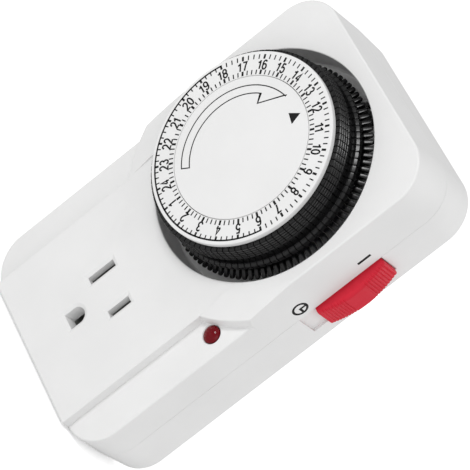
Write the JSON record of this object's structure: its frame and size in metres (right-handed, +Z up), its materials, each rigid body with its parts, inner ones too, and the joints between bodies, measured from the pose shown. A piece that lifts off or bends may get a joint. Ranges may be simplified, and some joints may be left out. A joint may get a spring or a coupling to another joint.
{
  "type": "plug-in timer switch",
  "caption": "Plug-in mechanical 24-hour timer switch: white wall-plug case, dial of push-down trip tabs, grounded outlet, red side slide switch and indicator lamp.",
  "frame": {"origin": "centre of the flat back face that lies against the wall outlet", "axes": "+Z up along the case towards the dial end, +Y out of the back towards the wall (the blades point this way), +X towards the side with the red slide switch"},
  "size_m": [0.0761, 0.0592, 0.1188],
  "materials": {
    "case_white": "satin moulded",
    "dial_white": "satin moulded, printed",
    "tab_black": "semi-gloss moulded",
    "gear_acetal": "natural acetal",
    "steel": "plated",
    "board_dark": "matt",
    "contact_brass": "rolled",
    "prong_brass": "polished",
    "carrier_black": "matt",
    "button_red": "satin, ribbed",
    "plunger_red": "matt",
    "lens_red": "clear, deep red",
    "bulb_glass": "clear",
    "resistor_tan": "lacquered",
    "screw_steel": "plated"
  },
  "bodies": {
    "case": {"front_cover": "case_white", "rear_cover": "case_white", "dial_post": "steel", "dial_clip": "steel", "timer_motor": "steel", "idler_arbor": "steel", "follower_pivot": "steel", "mechanism_plate": "board_dark", "snap_switch": "board_dark", "neutral_strip": "contact_brass", "line_strip": "contact_brass", "load_strip": "contact_brass", "ground_strip": "contact_brass", "neutral_blade": "prong_brass", "line_blade": "prong_brass", "ground_pin": "prong_brass", "neon_lens": "lens_red", "neon_bulb": "bulb_glass", "lamp_resistor": "resistor_tan", "case_screw_1": "screw_steel", "case_screw_2": "screw_steel", "case_screw_3": "screw_steel", "case_screw_4": "screw_steel", "mechanism_screw_1": "screw_steel", "mechanism_screw_2": "screw_steel", "centre_disc": "dial_white"},
    "dial": {"number_ring": "dial_white", "dial_drum": "tab_black", "dial_gear": "gear_acetal"},
    "tabs_01": {"trip_tabs_01": "tab_black"},
    "tabs_02": {"trip_tabs_02": "tab_black"},
    "tabs_03": {"trip_tabs_03": "tab_black"},
    "tabs_04": {"trip_tabs_04": "tab_black"},
    "tabs_05": {"trip_tabs_05": "tab_black"},
    "tabs_06": {"trip_tabs_06": "tab_black"},
    "tabs_07": {"trip_tabs_07": "tab_black"},
    "tabs_08": {"trip_tabs_08": "tab_black"},
    "tabs_09": {"trip_tabs_09": "tab_black"},
    "tabs_10": {"trip_tabs_10": "tab_black"},
    "tabs_11": {"trip_tabs_11": "tab_black"},
    "tabs_12": {"trip_tabs_12": "tab_black"},
    "tabs_13": {"trip_tabs_13": "tab_black"},
    "tabs_14": {"trip_tabs_14": "tab_black"},
    "tabs_15": {"trip_tabs_15": "tab_black"},
    "tabs_16": {"trip_tabs_16": "tab_black"},
    "tabs_17": {"trip_tabs_17": "tab_black"},
    "tabs_18": {"trip_tabs_18": "tab_black"},
    "tabs_19": {"trip_tabs_19": "tab_black"},
    "tabs_20": {"trip_tabs_20": "tab_black"},
    "tabs_21": {"trip_tabs_21": "tab_black"},
    "tabs_22": {"trip_tabs_22": "tab_black"},
    "tabs_23": {"trip_tabs_23": "tab_black"},
    "tabs_24": {"trip_tabs_24": "tab_black"},
    "idler": {"idler_gear": "gear_acetal"},
    "motor_output": {"motor_pinion": "contact_brass"},
    "follower": {"follower_lever": "gear_acetal"},
    "plunger": {"switch_plunger": "plunger_red"},
    "slider": {"slide_button": "button_red", "slide_carrier": "carrier_black", "bypass_bridge": "contact_brass"}
  },
  "joints": [
    {"name": "dial_turn", "type": "hinge", "parent": "case", "child": "dial", "pos_m": [0, 0, 0.0221], "axis": [0, 1, 0], "continuous": true},
    {"name": "idler_turn", "type": "hinge", "parent": "case", "child": "idler", "pos_m": [0.00366, -0.011, 0.00132], "axis": [0, 1, 0], "continuous": true},
    {"name": "motor_turn", "type": "hinge", "parent": "case", "child": "motor_output", "pos_m": [-0.01083, -0.011, -0.0029], "axis": [0, 1, 0], "continuous": true},
    {"name": "trip_tabs_01_push", "type": "slide", "parent": "dial", "child": "tabs_01", "axis": [0, 1, 0], "range_m": [0, 0.0035]},
    {"name": "trip_tabs_02_push", "type": "slide", "parent": "dial", "child": "tabs_02", "axis": [0, 1, 0], "range_m": [0, 0.0035]},
    {"name": "trip_tabs_03_push", "type": "slide", "parent": "dial", "child": "tabs_03", "axis": [0, 1, 0], "range_m": [0, 0.0035]},
    {"name": "trip_tabs_04_push", "type": "slide", "parent": "dial", "child": "tabs_04", "axis": [0, 1, 0], "range_m": [0, 0.0035]},
    {"name": "trip_tabs_05_push", "type": "slide", "parent": "dial", "child": "tabs_05", "axis": [0, 1, 0], "range_m": [0, 0.0035]},
    {"name": "trip_tabs_06_push", "type": "slide", "parent": "dial", "child": "tabs_06", "axis": [0, 1, 0], "range_m": [0, 0.0035]},
    {"name": "trip_tabs_07_push", "type": "slide", "parent": "dial", "child": "tabs_07", "axis": [0, 1, 0], "range_m": [0, 0.0035]},
    {"name": "trip_tabs_08_push", "type": "slide", "parent": "dial", "child": "tabs_08", "axis": [0, 1, 0], "range_m": [0, 0.0035]},
    {"name": "trip_tabs_09_push", "type": "slide", "parent": "dial", "child": "tabs_09", "axis": [0, 1, 0], "range_m": [0, 0.0035]},
    {"name": "trip_tabs_10_push", "type": "slide", "parent": "dial", "child": "tabs_10", "axis": [0, 1, 0], "range_m": [0, 0.0035]},
    {"name": "trip_tabs_11_push", "type": "slide", "parent": "dial", "child": "tabs_11", "axis": [0, 1, 0], "range_m": [0, 0.0035]},
    {"name": "trip_tabs_12_push", "type": "slide", "parent": "dial", "child": "tabs_12", "axis": [0, 1, 0], "range_m": [0, 0.0035]},
    {"name": "trip_tabs_13_push", "type": "slide", "parent": "dial", "child": "tabs_13", "axis": [0, 1, 0], "range_m": [0, 0.0035]},
    {"name": "trip_tabs_14_push", "type": "slide", "parent": "dial", "child": "tabs_14", "axis": [0, 1, 0], "range_m": [0, 0.0035]},
    {"name": "trip_tabs_15_push", "type": "slide", "parent": "dial", "child": "tabs_15", "axis": [0, 1, 0], "range_m": [0, 0.0035]},
    {"name": "trip_tabs_16_push", "type": "slide", "parent": "dial", "child": "tabs_16", "axis": [0, 1, 0], "range_m": [0, 0.0035]},
    {"name": "trip_tabs_17_push", "type": "slide", "parent": "dial", "child": "tabs_17", "axis": [0, 1, 0], "range_m": [0, 0.0035]},
    {"name": "trip_tabs_18_push", "type": "slide", "parent": "dial", "child": "tabs_18", "axis": [0, 1, 0], "range_m": [0, 0.0035]},
    {"name": "trip_tabs_19_push", "type": "slide", "parent": "dial", "child": "tabs_19", "axis": [0, 1, 0], "range_m": [0, 0.0035]},
    {"name": "trip_tabs_20_push", "type": "slide", "parent": "dial", "child": "tabs_20", "axis": [0, 1, 0], "range_m": [0, 0.0035]},
    {"name": "trip_tabs_21_push", "type": "slide", "parent": "dial", "child": "tabs_21", "axis": [0, 1, 0], "range_m": [0, 0.0035]},
    {"name": "trip_tabs_22_push", "type": "slide", "parent": "dial", "child": "tabs_22", "axis": [0, 1, 0], "range_m": [0, 0.0035]},
    {"name": "trip_tabs_23_push", "type": "slide", "parent": "dial", "child": "tabs_23", "axis": [0, 1, 0], "range_m": [0, 0.0035]},
    {"name": "trip_tabs_24_push", "type": "slide", "parent": "dial", "child": "tabs_24", "axis": [0, 1, 0], "range_m": [0, 0.0035]},
    {"name": "follower_swing", "type": "hinge", "parent": "case", "child": "follower", "pos_m": [0.01518, -0.0118, 0.0504], "axis": [0, 0, 1], "range_deg": [-17.5, 0]},
    {"name": "plunger_press", "type": "slide", "parent": "case", "child": "plunger", "axis": [0, 1, 0], "range_m": [0, 0.0023]},
    {"name": "switch_slide", "type": "slide", "parent": "case", "child": "slider", "axis": [0, 0, 1], "range_m": [-0.0047, 0]}
  ],
  "couplings": [
    {"joint": "idler_turn", "follows": "dial_turn", "ratio": -6},
    {"joint": "motor_turn", "follows": "dial_turn", "ratio": 24},
    {"joint": "follower_swing", "follows": "trip_tabs_13_push", "rad_per_m": -87.266},
    {"joint": "plunger_press", "follows": "trip_tabs_13_push", "ratio": 0.657}
  ]
}
